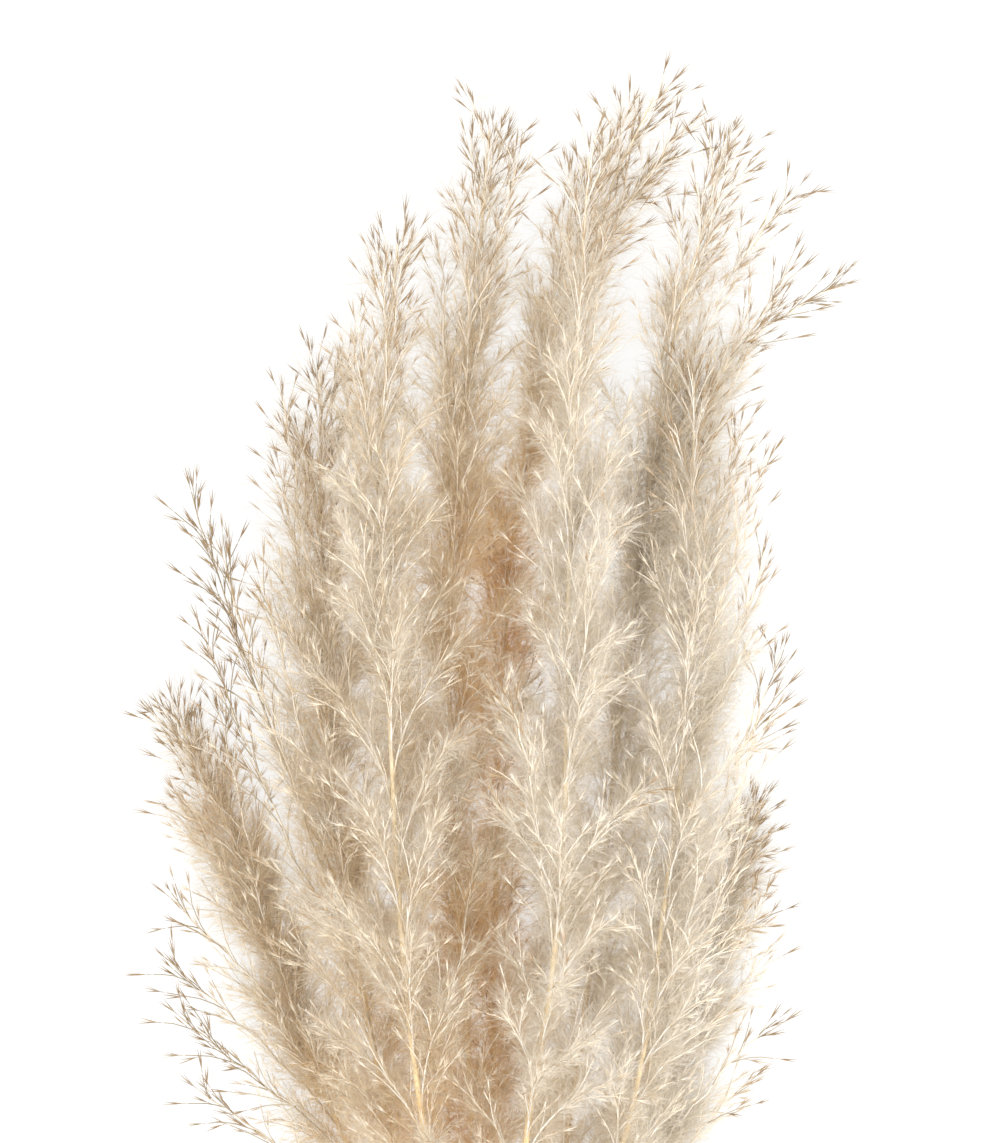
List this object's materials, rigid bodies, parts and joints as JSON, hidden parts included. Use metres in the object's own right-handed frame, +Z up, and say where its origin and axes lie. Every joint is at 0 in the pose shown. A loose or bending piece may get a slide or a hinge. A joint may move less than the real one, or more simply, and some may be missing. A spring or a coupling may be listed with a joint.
{
  "type": "dried pampas grass bundle",
  "caption": "Bundle of dried pampas grass lying flat: long feathery plumes on bare straw culms, tied with jute twine.",
  "frame": {"origin": "on the surface that the bundle lies on, under the middle of its box", "axes": "+Y from the cut stems to the feathery tips, +Z up from the surface through the best side, +X to the right"},
  "size_m": [0.4462, 1.0658, 0.216],
  "materials": {
    "straw": "satin dried culm",
    "down": "silky dried down",
    "jute": "rough twisted jute"
  },
  "bodies": {
    "root": {"culm_tall": "straw", "plume_tall": "down", "culm_tall_left": "straw", "plume_tall_left": "down", "culm_arching": "straw", "plume_arching": "down", "culm_right": "straw", "plume_right": "down", "culm_front": "straw", "plume_front": "down", "culm_left": "straw", "plume_left": "down", "culm_far_left": "straw", "plume_far_left": "down", "culm_low_left": "straw", "plume_low_left": "down", "culm_low_right": "straw", "plume_low_right": "down", "twine_tie": "jute"}
  },
  "joints": []
}
